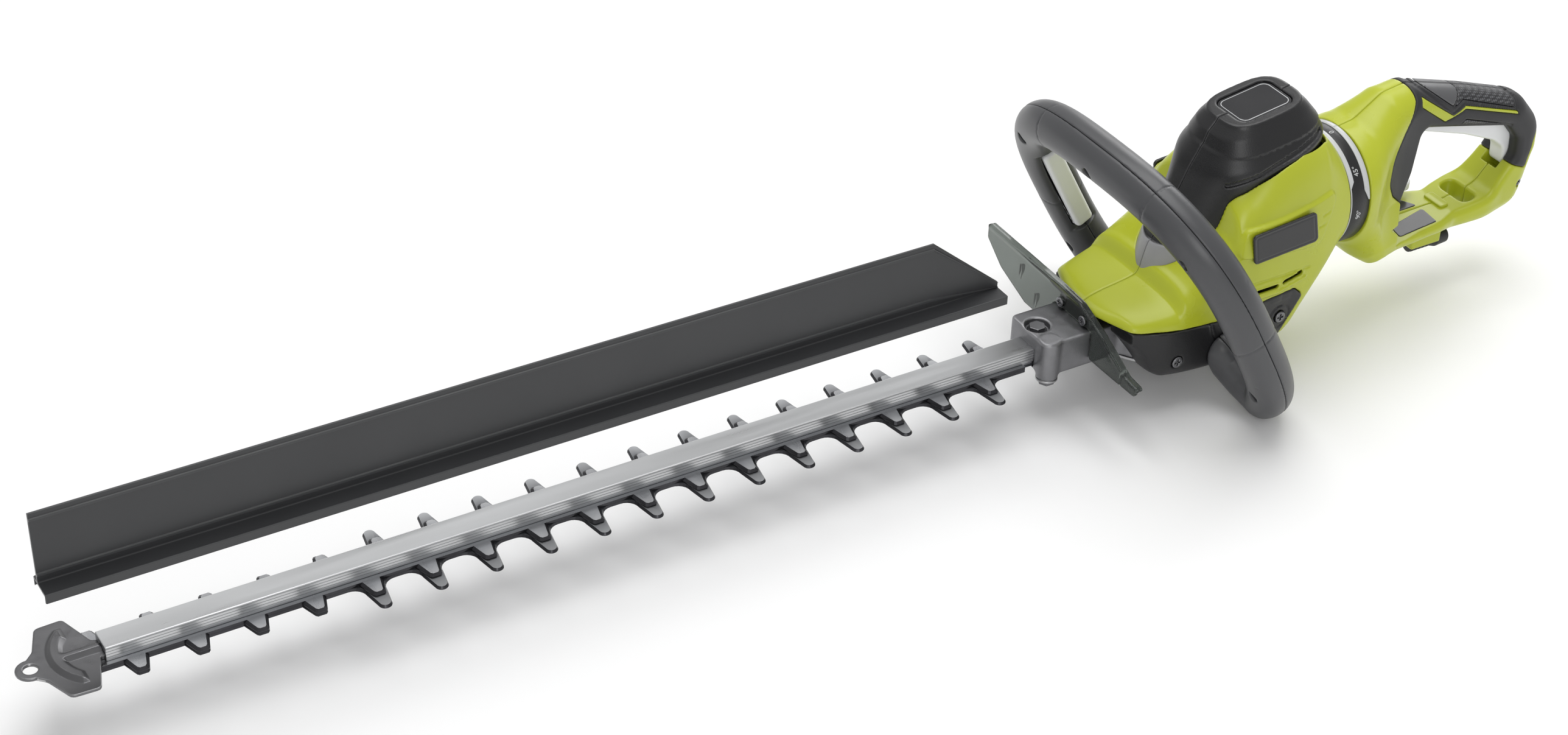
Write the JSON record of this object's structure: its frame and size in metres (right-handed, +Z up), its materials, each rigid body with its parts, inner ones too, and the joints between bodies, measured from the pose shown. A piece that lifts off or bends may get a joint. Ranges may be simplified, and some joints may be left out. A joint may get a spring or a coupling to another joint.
{
  "type": "hedge trimmer",
  "caption": "Electric hedge trimmer with a long double-sided blade, looped front handle, turning rear handle, hand guard and clip-on sweeper.",
  "frame": {"origin": "centre of the bounding box's bottom face; the bottom level is where the front loop's lowest corners stand", "axes": "+X from the blade's tip towards the rear handle, +Y to the operator's right, +Z up"},
  "size_m": [1.0514, 0.2342, 0.1828],
  "materials": {
    "lime_plastic": "satin moulded plastic",
    "black_plastic": "fine-grained moulded plastic",
    "badge_gloss": "polished plate",
    "loop_plastic": "satin moulded plastic",
    "light_plastic": "satin moulded plastic",
    "silver_plastic": "silver-coloured plastic",
    "guard_plastic": "tinted clear plastic",
    "grip_rubber": "soft overmould with a dimpled panel",
    "sweeper_plastic": "satin extrusion",
    "cast_metal": "as cast, lightly blasted",
    "rail_metal": "extruded, side grooves",
    "blade_steel": "ground",
    "lower_steel": "dark oxide",
    "screw_steel": "plated",
    "gear_steel": "machined",
    "copper": "machined"
  },
  "bodies": {
    "housing": {"guide_rail": "rail_metal", "blade_screws": "screw_steel", "tip_plate": "blade_steel", "tip_screws": "screw_steel", "gear_case": "cast_metal", "gear_case_cover": "cast_metal", "case_bolts": "screw_steel", "case_nut": "screw_steel", "motor_field": "gear_steel", "motor_bearings": "gear_steel", "brush_holders": "copper", "housing_left": "lime_plastic", "housing_right": "lime_plastic", "base_left": "black_plastic", "base_right": "black_plastic", "motor_cover_left": "black_plastic", "motor_cover_right": "black_plastic", "cover_badge": "badge_gloss", "side_badges": "badge_gloss", "housing_screws": "screw_steel", "hand_guard": "guard_plastic", "guard_screws": "screw_steel", "loop_front_half": "loop_plastic", "loop_rear_half": "loop_plastic", "loop_screws": "screw_steel", "front_switch": "black_plastic", "angle_ring": "black_plastic", "ring_bezel": "silver_plastic", "pivot_collar": "black_plastic"},
    "upper_blade": {"upper_blade": "blade_steel"},
    "lower_blade": {"lower_blade": "lower_steel"},
    "drive": {"drive_gear": "gear_steel", "crankshaft": "gear_steel"},
    "rotor": {"motor_pinion": "gear_steel", "armature": "gear_steel", "commutator": "copper", "cooling_fan": "black_plastic"},
    "rear_handle": {"handle_left": "lime_plastic", "handle_right": "lime_plastic", "grip_cover": "grip_rubber", "grip_pad": "grip_rubber", "rear_switch": "black_plastic", "cord_hook": "lime_plastic", "cord_inlet": "black_plastic", "handle_screws": "screw_steel"},
    "rear_trigger": {"rear_trigger": "light_plastic"},
    "rotation_lock": {"rotation_lock": "light_plastic"},
    "left_paddle": {"left_paddle": "light_plastic"},
    "right_paddle": {"right_paddle": "light_plastic"},
    "sweeper": {"sweeper": "sweeper_plastic"}
  },
  "joints": [
    {"name": "upper_stroke", "type": "slide", "parent": "housing", "child": "upper_blade", "axis": [1, 0, 0], "range_m": [-0.007, 0.007]},
    {"name": "lower_stroke", "type": "slide", "parent": "housing", "child": "lower_blade", "axis": [1, 0, 0], "range_m": [-0.007, 0.007]},
    {"name": "drive_turn", "type": "hinge", "parent": "housing", "child": "drive", "pos_m": [0.2175, 0, 0.04664], "axis": [0, 0, 1], "continuous": true},
    {"name": "rotor_turn", "type": "hinge", "parent": "housing", "child": "rotor", "pos_m": [0.2615, 0, 0.09664], "axis": [0, 0, 1], "continuous": true},
    {"name": "handle_turn", "type": "hinge", "parent": "housing", "child": "rear_handle", "pos_m": [0.3445, 0, 0.10114], "axis": [1, 0, 0], "range_deg": [-90, 90]},
    {"name": "trigger_pull", "type": "hinge", "parent": "rear_handle", "child": "rear_trigger", "pos_m": [0.422, 0, 0.13364], "axis": [0, -1, 0], "range_deg": [0, 4], "stiffness_Nm_per_rad": 0.5, "springref_deg": -2.86},
    {"name": "lock_press", "type": "slide", "parent": "rear_handle", "child": "rotation_lock", "axis": [0, -1, 0], "range_m": [0, 0.003], "stiffness_N_per_m": 300, "springref_m": -0.002},
    {"name": "left_paddle_press", "type": "slide", "parent": "housing", "child": "left_paddle", "axis": [0, -1, 0], "range_m": [0, 0.003], "stiffness_N_per_m": 300, "springref_m": -0.002},
    {"name": "right_paddle_press", "type": "slide", "parent": "housing", "child": "right_paddle", "axis": [0, 1, 0], "range_m": [0, 0.003], "stiffness_N_per_m": 300, "springref_m": -0.002},
    {"name": "sweeper_clip", "type": "slide", "parent": "housing", "child": "sweeper", "axis": [0.311, 0, -0.9504], "range_m": [0, 0.04823]}
  ],
  "couplings": [
    {"joint": "lower_stroke", "follows": "upper_stroke", "ratio": -1},
    {"joint": "rotor_turn", "follows": "drive_turn", "ratio": -7}
  ]
}
